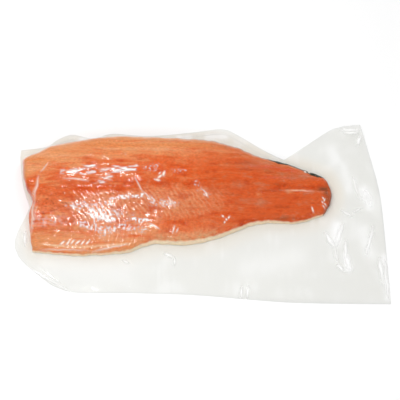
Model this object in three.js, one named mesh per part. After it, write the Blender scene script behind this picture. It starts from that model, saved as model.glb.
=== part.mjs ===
// A side of salted trout lying skin down, sealed in a clear vacuum pouch.
// Millimetres, +Z up. +X runs from the head cut to the tail, +Y towards the fish's back.
// The pouch's upper ply clings to the fillet, so there the fillet's own surface is the pack's.
import * as THREE from "three";

const { clamp, lerp, smoothstep } = THREE.MathUtils;

// Driving dimensions of the fillet
const FILLET_LENGTH = 401; // head cut to tail cut
const FILLET_WIDTH = 160; // back edge to belly edge, where it is widest
const LOIN_THICKNESS = 27; // along the back, a quarter of the way from the head
const FLAP_THICKNESS = 11; // the belly flap
const WALL_THICKNESS = 15; // the belly edge behind the flap
const TAIL_THICKNESS = 11;
const RIM_THICKNESS = 2; // skin and flesh at the very edge

// How the thickness runs, in shares of the length from the head cut
const SHOULDER = { thinner: 0.9, end: 0.2 }; // the loin is a little thinner at the head cut
const LOIN_TAPER = [0.35, 1.05]; // from the loin's thickness to the tail's
const FLAP_END = 0.42; // where the belly flap stops
const WALL_START = 0.57; // where the belly edge has its full thickness behind the flap
const WALL_TAPER = [0.65, 1]; // from there to the tail's thickness
const LOIN_SLOPE = { start: -0.12, end: 0.42, last: 0.92 }; // across from the bone line, down to the belly

// Edges of the fillet, as shares of its length from the head cut and of its width from the bone line
const BACK_EDGE = [
  [0, 0.265], [0.058, 0.335], [0.096, 0.385], [0.154, 0.412], [0.29, 0.464], [0.43, 0.458],
  [0.59, 0.441], [0.644, 0.415], [0.7, 0.372], [0.78, 0.29], [0.877, 0.222], [0.978, 0.118],
];
const BELLY_EDGE = [
  [0.05, -0.506], [0.19, -0.536], [0.302, -0.523], [0.359, -0.506], [0.401, -0.463], [0.441, -0.439],
  [0.529, -0.449], [0.603, -0.416], [0.661, -0.369], [0.738, -0.291], [0.796, -0.266], [0.89, -0.266],
  [0.973, -0.197],
];
const HEAD_NOTCH = { depth: 7.5, across: 0.46, spread: 0.11 }; // where the collar was cut away
const TAIL_BULGE = 10; // how far the tail's end rounds out past its corners
const END_REACH = 0.12; // share of the length over which an end's shape fades into the sides

// Radii that round the fillet's edges down to the rim
const BACK_ROUND = 17;
const FLAP_ROUND = 8;
const END_ROUND = 8;

// Lengthwise channels in the flesh, each with its depth and half width
const BONE_CHANNEL = { depth: 1.8, half: 5 }; // left by the backbone
const FLAP_CHANNEL = { depth: 1.2, half: 4, across: 0.8 }; // above the belly flap, where the ribs ended
const FLAP_CHANNEL_FADE = 0.08; // share of the length over which that channel runs out

// The muscle's flakes, folded like a W on its side
const FLAKES = 60;
const FLAKE_RELIEF = 1.3;
const FLAKE_SWEEP = 22; // how far a flake's arms trail towards the tail
const LOIN_FOLD = 0.14; // across, where the arm on the back turns forward again
const FLAP_FOLD = 0.76; // and the one on the belly
const FOLD_RETURN = 0.45; // share of the sweep that an arm takes back past its fold
const RELIEF_START = [0.04, 0.16]; // shares of the length between which the relief comes in
const RELIEF_FADE = [0.55, 0.85]; // and between which it grows weaker
const RELIEF_AT_TAIL = 0.4;
const RELIEF_ON_LOIN = 0.45;
const TAIL_SQUEEZE = 0.16; // share of the length over which the flakes straighten up before the tail

// The pouch
const POUCH_LENGTH = 472;
const POUCH_WIDTH = 242;
const FILM_UNDER = 0.5; // the lower ply, under the fillet
const FILM_DOUBLE = 0.9; // both plies together, round it
const GAP = 0.35; // between film and fillet
const TENT_HEIGHT = 5; // how high the film climbs the fillet's side
const TENT_REACH = 7; // and how soon it comes down to the lower ply
const FILLET_PLACE = [-232.7, 27]; // the head end of the bone line, from the pouch's middle
const WAIST = 0.86; // share of the fillet's back edge beside the point where the pouch is drawn in
const LIFT_START = 0.1; // share of the way from the fillet to the pouch's edge where it begins to lift

// Edges of the pouch, in order round it, as shares of its length and width from its middle. The shut end has
// two stretches, which meet beside the head's notch.
const UPPER_SEAM = [
  [-0.5, 0.356], [-0.432, 0.374], [-0.398, 0.418], [-0.359, 0.443], [-0.299, 0.423], [-0.247, 0.45],
  [-0.141, 0.44], [-0.013, 0.462], [0.06, 0.476], [0.102, 0.444], [0.18, 0.349], [0.231, 0.295],
];
const FLARE = [[0.231, 0.295], [0.31, 0.404], [0.367, 0.474], [0.409, 0.494], [0.447, 0.5]];
const OPEN_END = [
  [0.447, 0.5], [0.464, 0.359], [0.479, 0.236], [0.491, 0.094], [0.496, -0.101], [0.5, -0.5],
];
const LOWER_SEAM = [
  [0.5, -0.5], [0.253, -0.493], [0.111, -0.473], [-0.028, -0.451], [-0.194, -0.442], [-0.329, -0.439],
  [-0.376, -0.416], [-0.406, -0.385], [-0.458, -0.305],
];
const SHUT_END_BELOW = [
  [-0.458, -0.305], [-0.485, -0.251], [-0.5, -0.179], [-0.493, -0.107], [-0.477, -0.034], [-0.466, 0.027],
];
const SHUT_END_ABOVE = [[-0.466, 0.027], [-0.487, 0.144], [-0.5, 0.291], [-0.5, 0.356]];

// Places where the pouch's edge lifts off the table: a point on the edge, its height and its spread
const LIFTS = [
  { at: [0.447, 0.5], height: 12, spread: 45 }, // the corner of the open end
  { at: [0.231, 0.295], height: 4, spread: 24 }, // the waist beside the tail
  { at: [0.06, 0.476], height: 6, spread: 35 },
  { at: [-0.247, 0.45], height: 5, spread: 18 },
  { at: [-0.359, 0.443], height: 6, spread: 18 },
  { at: [-0.465, -0.28], height: 4, spread: 30 },
];

// Fineness of the solids
const ACROSS_STEPS = 24;
const END_STEPS = 3; // extra lines that round each end
const RUNG_STEPS = 7; // from the fillet out to the pouch's edge
const RUNG_EASE = 1.7; // crowds those steps towards the fillet

const bell = (distance, spread) => Math.exp(-((distance / spread) ** 2));

function curveThrough(shares, length, width) {
  return new THREE.SplineCurve(shares.map(([x, y]) => new THREE.Vector2(x * length, y * width)));
}

const backEdge = curveThrough(BACK_EDGE, FILLET_LENGTH, FILLET_WIDTH);
const bellyEdge = curveThrough(BELLY_EDGE, FILLET_LENGTH, FILLET_WIDTH);

// A point of the fillet's plan: along is 0 at the head cut and 1 at the tail, across is 0 at the back edge
// and 1 at the belly edge
function planPoint(along, across) {
  const point = backEdge.getPointAt(along).lerp(bellyEdge.getPointAt(along), across);
  const notch = HEAD_NOTCH.depth * bell(across - HEAD_NOTCH.across, HEAD_NOTCH.spread);
  const bulge = TAIL_BULGE * (1 - (2 * across - 1) ** 2);
  point.x += notch * smoothstep(END_REACH - along, 0, END_REACH);
  point.x += bulge * smoothstep(along, 1 - END_REACH, 1);
  return point;
}

// Height of a rounded edge, as a share of the full height, at a distance inside it
function rounded(distance, radius) {
  return Math.sqrt(1 - (1 - clamp(distance / radius, 0, 1)) ** 2);
}

// Thickness along the back and along the belly edge, before the edges are rounded
function loinThickness(along) {
  const shoulder = lerp(SHOULDER.thinner, 1, smoothstep(along, 0, SHOULDER.end));
  return lerp(LOIN_THICKNESS * shoulder, TAIL_THICKNESS, smoothstep(along, ...LOIN_TAPER));
}

function bellyThickness(along) {
  const behindFlap = lerp(FLAP_THICKNESS, WALL_THICKNESS, smoothstep(along, FLAP_END, WALL_START));
  return lerp(behindFlap, TAIL_THICKNESS, smoothstep(along, ...WALL_TAPER));
}

// How far along a flake's line has moved at this place across, in millimetres towards the tail
function flakeSweep(across, boneAcross) {
  const fold = across < boneAcross ? LOIN_FOLD : FLAP_FOLD;
  const edge = across < boneAcross ? 0 : 1;
  const armShare = (across - boneAcross) / (fold - boneAcross);
  if (armShare <= 1) return FLAKE_SWEEP * armShare;
  return FLAKE_SWEEP * (1 - (FOLD_RETURN * (across - fold)) / (edge - fold));
}

// Thickness of the flesh at a place in the plan, with side the ridge (+1) or groove (-1) of a flake
function thickness(along, across, side) {
  const back = backEdge.getPointAt(along);
  const belly = bellyEdge.getPointAt(along);
  const width = back.y - belly.y;
  const boneAcross = back.y / width;
  const slopeEnd = Math.min(boneAcross + LOIN_SLOPE.end, LOIN_SLOPE.last);
  const slope = smoothstep(across, boneAcross + LOIN_SLOPE.start, slopeEnd);
  const crown = lerp(loinThickness(along), bellyThickness(along), slope);
  const fromBone = (across - boneAcross) * width;
  const fromFlap = (across - FLAP_CHANNEL.across) * width;
  const flapShare = 1 - smoothstep(along, FLAP_END - FLAP_CHANNEL_FADE, FLAP_END);
  const channels =
    BONE_CHANNEL.depth * bell(fromBone, BONE_CHANNEL.half) +
    FLAP_CHANNEL.depth * flapShare * bell(fromFlap, FLAP_CHANNEL.half);
  const fromEnd = Math.min(along, 1 - along) * FILLET_LENGTH;
  const sides = rounded(across * width, BACK_ROUND) * rounded((1 - across) * width, FLAP_ROUND);
  const inside = sides * rounded(fromEnd, END_ROUND);
  const start = smoothstep(along, ...RELIEF_START);
  const fade = lerp(1, RELIEF_AT_TAIL, smoothstep(along, ...RELIEF_FADE));
  const relief = 0.5 * FLAKE_RELIEF * side * start * fade * lerp(RELIEF_ON_LOIN, 1, slope) * inside;
  return RIM_THICKNESS + (crown - RIM_THICKNESS - channels) * inside + relief;
}

// One line of the flesh's surface, from the back edge to the belly edge along a flake
function flakeLine(along, side) {
  const back = backEdge.getPointAt(along).y;
  const boneAcross = back / (back - bellyEdge.getPointAt(along).y);
  const freedom = smoothstep(along, 0, END_REACH) * smoothstep(1 - along, 0, TAIL_SQUEEZE);
  return Array.from({ length: ACROSS_STEPS + 1 }, (_, j) => {
    const across = (1 - Math.cos((Math.PI * j) / ACROSS_STEPS)) / 2;
    const swept = along + (freedom * flakeSweep(across, boneAcross)) / FILLET_LENGTH;
    const plan = planPoint(swept, across);
    return new THREE.Vector3(plan.x, plan.y, thickness(swept, across, side));
  });
}

// A closed solid with a flat base at height 0 under a surface of lines that hold equally many points
function solidUnder(lines) {
  const count = lines[0].length;
  const last = lines.length - 1;
  const points = lines.flat();
  const corner = (i, j) => i * count + j;
  const faces = [];
  for (let i = 0; i < last; i++) {
    for (let j = 0; j + 1 < count; j++) {
      faces.push(corner(i, j), corner(i + 1, j + 1), corner(i + 1, j));
      faces.push(corner(i, j), corner(i, j + 1), corner(i + 1, j + 1));
    }
  }
  const rim = [
    ...lines.map((_, i) => corner(i, 0)),
    ...lines[last].map((_, j) => corner(last, j)).slice(1),
    ...lines.map((_, i) => corner(last - i, count - 1)).slice(1),
    ...lines[0].map((_, j) => corner(0, count - 1 - j)).slice(1, -1),
  ];
  const base = points.length;
  points.push(...rim.map((k) => points[k].clone().setZ(0)));
  rim.forEach((top, k) => {
    const next = (k + 1) % rim.length;
    faces.push(top, rim[next], base + next, top, base + next, base + k);
  });
  const outline = rim.map((k) => new THREE.Vector2(points[k].x, points[k].y));
  for (const [a, b, c] of THREE.ShapeUtils.triangulateShape(outline, [])) {
    faces.push(base + c, base + b, base + a);
  }
  return new THREE.BufferGeometry().setFromPoints(points).setIndex(faces);
}

// Places of the lines along the fillet: the flakes' ridges and grooves, and closer lines that round each end
function linePlaces() {
  const endShare = END_ROUND / FILLET_LENGTH;
  const quarter = Math.PI / 2 / END_STEPS;
  const rounding = Array.from({ length: END_STEPS }, (_, k) => endShare * (1 - Math.cos(k * quarter)));
  const flakes = Array.from({ length: 2 * FLAKES + 1 }, (_, k) => ({
    along: lerp(endShare, 1 - endShare, k / (2 * FLAKES)),
    side: k % 2 ? 1 : -1,
  }));
  return [
    ...rounding.map((along) => ({ along, side: 0 })),
    ...flakes,
    ...rounding.toReversed().map((along) => ({ along: 1 - along, side: 0 })),
  ];
}

function makeFillet() {
  const geometry = solidUnder(linePlaces().map(({ along, side }) => flakeLine(along, side)));
  const flesh = new THREE.MeshStandardMaterial({ color: 0xe2683c, roughness: 0.35, metalness: 0 });
  const fillet = new THREE.Mesh(geometry, flesh);
  fillet.name = "fillet";
  fillet.position.set(...FILLET_PLACE, FILM_UNDER + GAP);
  return fillet;
}

// Matching stretches of the pouch's edge and of the fillet's, in order round the pack
function stretches() {
  const edge = (shares) => curveThrough(shares, POUCH_LENGTH, POUCH_WIDTH);
  const notch = HEAD_NOTCH.across;
  return [
    { steps: 32, outer: edge(UPPER_SEAM), inner: (u) => planPoint(WAIST * u, 0) },
    { steps: 12, outer: edge(FLARE), inner: (u) => planPoint(lerp(WAIST, 1, u), 0) },
    { steps: 16, outer: edge(OPEN_END), inner: (u) => planPoint(1, u) },
    { steps: 36, outer: edge(LOWER_SEAM), inner: (u) => planPoint(1 - u, 1) },
    { steps: 12, outer: edge(SHUT_END_BELOW), inner: (u) => planPoint(0, lerp(1, notch, u)) },
    { steps: 10, outer: edge(SHUT_END_ABOVE), inner: (u) => planPoint(0, lerp(notch, 0, u)) },
  ];
}

// The pouch's rungs, from just outside the fillet out to the pouch's edge
function pouchRungs() {
  const inner = [];
  const outer = [];
  for (const stretch of stretches()) {
    for (let k = 0; k < stretch.steps; k++) {
      inner.push(stretch.inner(k / stretch.steps).add(new THREE.Vector2(...FILLET_PLACE)));
      outer.push(stretch.outer.getPointAt(k / stretch.steps));
    }
  }
  const round = inner.length;
  return inner.map((point, k) => {
    const along = inner[(k + 1) % round].clone().sub(inner[(k + round - 1) % round]).normalize();
    const outward = new THREE.Vector2(-along.y, along.x);
    return { from: point.clone().addScaledVector(outward, 2 * GAP), to: outer[k] };
  });
}

// How far the pouch has lifted off the table at a point, where share is 0 beside the fillet and 1 at the edge
function lift(point, share) {
  const away = ({ at }) => point.distanceTo(new THREE.Vector2(at[0] * POUCH_LENGTH, at[1] * POUCH_WIDTH));
  const height = LIFTS.reduce((sum, place) => sum + place.height * bell(away(place), place.spread), 0);
  return height * smoothstep(share, LIFT_START, 1);
}

// The pouch: both plies lie together round the fillet and climb its side a little, and the lower ply runs on
// under it
function makePouch() {
  const rungs = pouchRungs();
  const round = rungs.length;
  const points = [];
  const faces = [];
  const addLevel = (place) => {
    points.push(...rungs.map(place));
    return points.length / round - 1;
  };
  const band = (low, high) => {
    for (let k = 0; k < round; k++) {
      const next = (k + 1) % round;
      faces.push(low * round + k, high * round + next, low * round + next);
      faces.push(low * round + k, high * round + k, high * round + next);
    }
  };
  const floor = (level, up) => {
    const flat = points.slice(level * round, (level + 1) * round).map((p) => new THREE.Vector2(p.x, p.y));
    for (const [a, b, c] of THREE.ShapeUtils.triangulateShape(flat, [])) {
      faces.push(...(up ? [a, b, c] : [c, b, a]).map((k) => level * round + k));
    }
  };
  const onRung = (share, raise) => (rung) => {
    const point = rung.from.clone().lerp(rung.to, share);
    const tent = TENT_HEIGHT * Math.exp(-point.distanceTo(rung.from) / TENT_REACH);
    return new THREE.Vector3(point.x, point.y, lift(point, share) + (raise ? FILM_DOUBLE + tent : 0));
  };
  const shares = Array.from({ length: RUNG_STEPS + 1 }, (_, i) => (i / RUNG_STEPS) ** RUNG_EASE);
  const under = shares.map((share) => addLevel(onRung(share, false)));
  const over = shares.map((share) => addLevel(onRung(share, true)));
  const tray = addLevel(({ from }) => new THREE.Vector3(from.x, from.y, FILM_UNDER));
  for (let i = 0; i < RUNG_STEPS; i++) {
    band(under[i], under[i + 1]);
    band(over[i + 1], over[i]);
  }
  band(under[RUNG_STEPS], over[RUNG_STEPS]);
  band(over[0], tray);
  floor(tray, true);
  floor(under[0], false);
  const geometry = new THREE.BufferGeometry().setFromPoints(points).setIndex(faces);
  const film = new THREE.MeshStandardMaterial({
    color: 0xeef0ee, roughness: 0.12, metalness: 0, transparent: true, opacity: 0.35,
  });
  const pouch = new THREE.Mesh(geometry, film);
  pouch.name = "pouch";
  return pouch;
}

// The pack stands with the middle of its base at the origin
function makePack() {
  const pack = new THREE.Group();
  pack.add(makeFillet(), makePouch());
  const middle = new THREE.Box3().setFromObject(pack).getCenter(new THREE.Vector3());
  for (const piece of pack.children) {
    piece.position.x -= middle.x;
    piece.position.y -= middle.y;
  }
  return pack;
}

export default makePack();
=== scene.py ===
"""A side of salted trout, skin down, in a clear vacuum pouch, with floor, light and camera.

Lengths are millimetres until a mesh is made. +X runs from the head cut to the tail, +Y towards the back.
Along is a share of the fillet's length from the head cut, across one of its width from the back's edge.
An area says for each point of a surface, from 0 to 1, how far something holds there.
"""

import math

import bpy
import numpy as np
from mathutils import Matrix, Vector


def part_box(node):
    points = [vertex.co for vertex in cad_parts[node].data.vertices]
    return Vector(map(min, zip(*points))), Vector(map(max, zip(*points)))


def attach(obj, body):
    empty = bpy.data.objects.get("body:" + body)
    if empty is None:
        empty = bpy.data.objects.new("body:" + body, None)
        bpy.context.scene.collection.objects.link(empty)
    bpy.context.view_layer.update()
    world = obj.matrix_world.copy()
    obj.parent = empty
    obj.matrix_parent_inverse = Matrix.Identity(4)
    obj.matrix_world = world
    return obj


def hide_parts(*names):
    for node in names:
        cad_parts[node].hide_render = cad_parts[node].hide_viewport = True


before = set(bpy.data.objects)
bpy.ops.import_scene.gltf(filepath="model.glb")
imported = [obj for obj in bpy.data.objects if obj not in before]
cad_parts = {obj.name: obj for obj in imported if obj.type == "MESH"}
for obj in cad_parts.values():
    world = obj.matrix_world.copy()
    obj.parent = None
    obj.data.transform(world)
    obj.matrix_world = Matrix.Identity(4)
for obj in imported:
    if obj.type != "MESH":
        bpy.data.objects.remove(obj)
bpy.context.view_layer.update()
MM = 0.001

# The fillet's sizes and edges, as in the solid
FILLET_LENGTH = 401
FILLET_WIDTH = 160
LOIN_THICKNESS = 27
FLAP_THICKNESS = 11
WALL_THICKNESS = 15
TAIL_THICKNESS = 11
RIM_THICKNESS = 2
SHOULDER_SHARE, SHOULDER_END = 0.9, 0.2  # the loin is a little thinner at the head cut
LOIN_TAPER, WALL_TAPER = (0.35, 1.05), (0.65, 1)
SLOPE_START, SLOPE_END, SLOPE_LAST = -0.12, 0.42, 0.92  # across from the bone line, down to the belly
BACK_EDGE = [
    (0, 0.265), (0.058, 0.335), (0.096, 0.385), (0.154, 0.412), (0.29, 0.464), (0.43, 0.458),
    (0.59, 0.441), (0.644, 0.415), (0.7, 0.372), (0.78, 0.29), (0.877, 0.222), (0.978, 0.118),
]
BELLY_EDGE = [
    (0.05, -0.506), (0.19, -0.536), (0.302, -0.523), (0.359, -0.506), (0.401, -0.463), (0.441, -0.439),
    (0.529, -0.449), (0.603, -0.416), (0.661, -0.369), (0.738, -0.291), (0.796, -0.266), (0.89, -0.266),
    (0.973, -0.197),
]
HEAD_NOTCH_DEPTH, HEAD_NOTCH_ACROSS, HEAD_NOTCH_SPREAD = 7.5, 0.46, 0.11
TAIL_BULGE = 10
END_REACH = 0.12
TAIL_SQUEEZE = 0.16
BACK_ROUND, FLAP_ROUND, END_ROUND = 17, 8, 8
BONE_CHANNEL_DEPTH, BONE_CHANNEL_HALF = 1.8, 5
FLAP_CHANNEL_DEPTH, FLAP_CHANNEL_HALF = 1.2, 4
FLAP_CHANNEL_ACROSS, FLAP_CHANNEL_END = 0.8, (0.34, 0.42)

# The fillet's own values in the scene
WALL_RISE = (0.3, 0.9)  # where the belly's edge thickens from the flap to the tail's wall
SKIN_GAP = 0.15  # between flesh and skin

# The muscle's flakes
FLAKES = 60
FLAKE_RELIEF = 0.6
FLAKE_SWEEP = 22
LOIN_FOLD, FLAP_FOLD, FOLD_RETURN = 0.14, 0.76, 0.45
RELIEF_START, RELIEF_END, FILM_RELIEF_END = (0.04, 0.16), (0.52, 0.72), (0.3, 0.42)
RELIEF_ON_LOIN = 0.2

# The pouch's sizes and edges, as in the solid
POUCH_SIZE = (472, 242)
FILLET_PLACE = (-232.7, 27)
WAIST = 0.86
UPPER_SEAM = [
    (-0.5, 0.356), (-0.432, 0.374), (-0.398, 0.418), (-0.359, 0.443), (-0.299, 0.423), (-0.247, 0.45),
    (-0.141, 0.44), (-0.013, 0.462), (0.06, 0.476), (0.102, 0.444), (0.18, 0.349), (0.231, 0.295),
]
FLARE = [(0.231, 0.295), (0.31, 0.404), (0.367, 0.474), (0.409, 0.494), (0.447, 0.5)]
OPEN_END = [(0.447, 0.5), (0.464, 0.359), (0.479, 0.236), (0.491, 0.094), (0.496, -0.101), (0.5, -0.5)]
LOWER_SEAM = [
    (0.5, -0.5), (0.253, -0.493), (0.111, -0.473), (-0.028, -0.451), (-0.194, -0.442), (-0.329, -0.439),
    (-0.376, -0.416), (-0.406, -0.385), (-0.458, -0.305),
]
SHUT_END_BELOW = [
    (-0.458, -0.305), (-0.485, -0.251), (-0.5, -0.179), (-0.493, -0.107), (-0.477, -0.034), (-0.466, 0.027),
]
SHUT_END_ABOVE = [(-0.466, 0.027), (-0.487, 0.144), (-0.5, 0.291), (-0.5, 0.356)]
LIFTS = [  # a point on the pouch's edge, how high it lifts off the table, and how far that spreads
    ((0.447, 0.5), 12, 45),
    ((0.231, 0.295), 4, 24),
    ((0.06, 0.476), 6, 35),
    ((-0.247, 0.45), 5, 18),
    ((-0.359, 0.443), 6, 18),
    ((-0.465, -0.28), 4, 30),
]
LIFT_START = 0.1
TENT_HEIGHT = 5

# The films where they lie
FILM_GAP, FILM_LEAST_GAP = 0.35, 0.1  # between flesh and upper film
FILM_RELIEF = 0.3  # share of the flakes' relief that the film follows
FILM_BASE = 0.12  # height of the lower film above the table
PLY_GAP = 0.35  # between the plies round the fillet
PILLOW_HEIGHT = 0.38  # of the loose film above that gap
SEAM_WIDTH = 7
TENT_DROP = 0.4  # how far below the solid's tent the upper film leaves the fillet
TENT_REACH, TENT_SWAY = 2.6, 1.2  # how far out the upper film comes down to the table, and how unevenly
LIFT_SHARE = 0.35  # of the solid's lifts
CREASE_TIP = 0.12  # share of a crease's profile left out at each end
CREASE_LINE = 0.95  # reach of the painted highlight, a white line along a crease, as a share of its width

# Shares of the upper film's areas in the height of its crinkles, and in its fine bump
CRINKLES = {"all": 0.35, "slope": 0.9, "crest": -0.29, "back": -0.3, "cut": 0.1}
BUMPS = {"all": 0.2, "slope": 0.34, "crest": -0.1, "head": 0.2}

# Creases in the upper film round the fillet, in the pack's frame: start, end, height, width and whiteness,
# the strength of a painted highlight along the crease
MARGIN_CREASES = [
    ((197.6, 48.2), (204.5, 20.5), 0.22, 2, 0.6),
    ((204.5, 20.5), (218.1, 10.9), 0.18, 2, 0.4),
    ((211, 29), (219, 9), 0.2, 4.2, 0.6),
    ((196.3, 0.4), (208, 5), 0.22, 1.5, 0.5),
    ((180.4, 2.7), (194.6, -4.9), 0.26, 2, 0.65),
    ((158.1, -28.1), (169.9, -47), 0.42, 2.4, 1),
    ((181.2, -17.6), (169.9, -47), 0.42, 3, 1),
    ((169.9, -47), (171.8, -66.7), 0.28, 2, 0.5),
    ((184.4, -38.4), (183.1, -63.5), 0.49, 2.6, 1),
    ((183.4, -57), (187.6, -76.5), 0.7, 3.6, 1),
    ((171.6, -70.7), (179.4, -77.8), 0.42, 2.2, 1),
    ((179.4, -77.8), (188.8, -78.5), 0.35, 1.8, 0.6),
    ((220.7, -20.3), (208.6, -57.5), 0.42, 2, 0.95),
    ((225.8, -62), (227, -92), 0.42, 2.6, 1),
    ((231.7, -64.1), (233.2, -113), 0.28, 2.2, 0.9),
    ((186.1, 114.3), (207.2, 112.1), 0.35, 1.8, 0.9),
    ((190, 110), (206, 108.5), 0.28, 1.6, 0.8),
    ((207.4, 93.4), (210.7, 104.9), 0.35, 1.8, 0.9),
    ((51, -98), (51, -114), 0.21, 1.4, 0.9),
    ((58, -98), (58, -114), 0.21, 1.4, 0.9),
    ((-46, -55), (-35, -60), 0.28, 1.8, 0.9),
    ((-33, -60), (-34, -70), 0.28, 1.5, 0.8),
    ((-99, -65), (-90, -68), 0.28, 1.5, 0.8),
    ((-214, -76), (-163, -104), 0.42, 1.8, 0.5),
    ((-200, -75), (-174, -96), 0.28, 1.6, 0.4),
    ((-222, -28), (-223, -44), 0.42, 1.8, 0.9),
]
# Painted sheen round the fillet, soft pale patches where the loose film turns clearer: start, end, reach
# and whiteness
MARGIN_SHEENS = [
    ((211.6, 30.1), (219.3, 8.1), 7, 0.9),
    ((172.9, -19), (172, -38), 8, 0.9),
    ((183, -60), (186.5, -74.6), 5, 1),
    ((171.6, 87.7), (178, 70), 8, 0.6),
    ((186, 66), (193, 30), 6, 0.5),
    ((233, -60), (234, -114), 5, 0.9),
    ((120, -60), (60, -75), 14, 0.35),
    ((-100, -80), (-190, -70), 20, 0.3),
    ((205, -25), (214, -55), 9, 0.6),
    ((-30, 104.5), (-14, 104.5), 3, 0.9),
    ((9, 105), (33, 105), 4, 0.8),
    ((-158, 101), (-150, 103), 4, 0.8),
]
# Creases in the film where it clings to the flesh, whose whiteness paints highlights and glints along them
CLING_CREASES = [
    ((-194, 58), (-205, 46), 0.5, 1, 0.5),
    ((-206, 40), (-211, 10), 0.4, 1.5, 0.6),
    ((-211, 10), (-215, -28), 0.4, 1.7, 0.6),
    ((-209, 32), (-215, 8), 0.3, 0.8, 0.4),
    ((-208, 2), (-214, -34), 0.3, 0.9, 0.4),
    ((-176, 46), (-155, 48.5), 0.6, 1.2, 0.35),
    ((-149, 50.5), (-132, 52), 0.6, 1.2, 0.35),
    ((-127, 49), (-85, 51.5), 0.7, 1.3, 0.35),
    ((-123, 43), (-92, 45), 0.6, 1.2, 0.3),
    ((-173, 36), (-143, 33.5), 0.6, 1.3, 0.6),
    ((-128, 37.5), (-112, 33.5), 0.6, 1.3, 0.5),
    ((-84, 38), (-73, 19), 0.5, 0.9, 0.6),
    ((-73, 19), (-60, 8), 0.4, 0.9, 0.6),
    ((-136, -55), (-90, -47), 0.4, 1.2, 0.5),
    ((-201, -53), (-140, -54), 0.4, 1.2, 0.4),
    *(((-176 + 6.6 * k, -47), (-171.5 + 6.6 * k, -42), 0.5, 1.3, 1) for k in range(6)),
    ((-45.9, 46.2), (-47.7, 39), 0.5, 1.5, 1),
    ((-49, 40.3), (-54.7, 36.3), 0.5, 1.4, 1),
    ((-51.5, 33.1), (-57.8, 34.9), 0.5, 1.2, 0.9),
    ((-50.4, 44.5), (-52.9, 41.7), 0.5, 1.1, 0.8),
    ((-47.4, 1.3), (-46, 8), 0.4, 1.1, 0.7),
    ((-41, 13), (-36, 3), 0.4, 1.1, 0.7),
    ((-37, 9), (-32.5, 1.5), 0.4, 1.1, 0.6),
    ((-63.8, -19), (-52, -27), 0.5, 1.2, 0.8),
    ((-36, -33), (-32.5, -22), 0.4, 1.1, 0.7),
    ((-31, -33), (-28.5, -26), 0.4, 1.1, 0.6),
    ((-7, 33), (-4, 34.3), 0.4, 1.4, 0.5),
    ((5.7, 20.2), (9.5, 13.4), 0.5, 1.3, 0.8),
    ((27.5, -9.5), (29, -11), 0.4, 1.2, 1),
    ((36.5, -10.5), (35.5, -13), 0.4, 1.2, 1),
    ((32, -13), (33.5, -15), 0.4, 1.2, 1),
    ((30.5, -16.5), (29.5, -19), 0.4, 1.1, 0.9),
    ((142, 3), (142.5, -5), 0.4, 1.2, 0.8),
    ((155.5, 16), (158, 12.5), 0.3, 0.9, 0.8),
    ((159.5, 14), (157.5, 10), 0.3, 0.9, 0.8),
    ((154.5, 11), (157, 7.5), 0.3, 0.9, 0.7),
    ((158.5, 8), (160.5, 4.5), 0.3, 0.9, 0.8),
    ((156, 5), (158.5, 1), 0.3, 0.9, 0.7),
    ((133.6, 52), (136, 49.5), 0.3, 1.2, 1),
    ((138.5, 52), (141, 49.5), 0.3, 1.2, 1),
]
# Painted glints, pale speckled patches on that film over the flesh: start, end, reach and whiteness
BELLY_GRAIN = (2.9, 2.5)
BELLY_PAINTED_GLINTS = [
    ((-162.5, 1.3), (-144.9, 2.6), 5, 0.8),
    ((-139.8, 1.3), (-112, 4), 6, 0.5),
    ((-135.9, -8.4), (-116.8, -13.7), 8, 1),
    ((-117.1, -4.4), (-101.8, -8.4), 5, 0.75),
    ((-112.2, 10.7), (-71.7, 14.8), 2.6, 0.9),
    ((-90.3, -12.4), (-68.8, -15.1), 4, 0.9),
    ((-150, -21), (-120, -28), 5, 0.65),
    ((-122, -31), (-96, -22), 5, 0.7),
    ((-100, -24.5), (-70, -28), 4, 0.65),
    ((-203, -16.4), (-175, -17.7), 4, 0.35),
    ((-68.5, 49.5), (-54.5, 52.2), 4, 0.5),
    ((-33.9, 46.7), (-21.1, 48.1), 3, 0.35),
    ((-63.9, 10), (-37.3, 3.2), 5, 0.6),
    ((-5.8, 33), (8.2, 16.7), 2.5, 0.5),
]
CREST_GRAIN = (11, 2.7)
CREST_PAINTED_GLINTS = [
    ((-175.1, 44.7), (-156.1, 46.1), 3.5, 0.9),
    ((-148.6, 50.2), (-135.9, 53), 3, 0.9),
    ((-153.5, 44.7), (-135.6, 43.4), 3, 0.6),
    ((-126.8, 47.5), (-105.2, 50.2), 3.5, 0.75),
    ((-110.2, 46.1), (-84.8, 50.2), 3.5, 0.95),
    ((-127.5, 32.5), (-116.3, 37.9), 3.5, 0.75),
]

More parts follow.
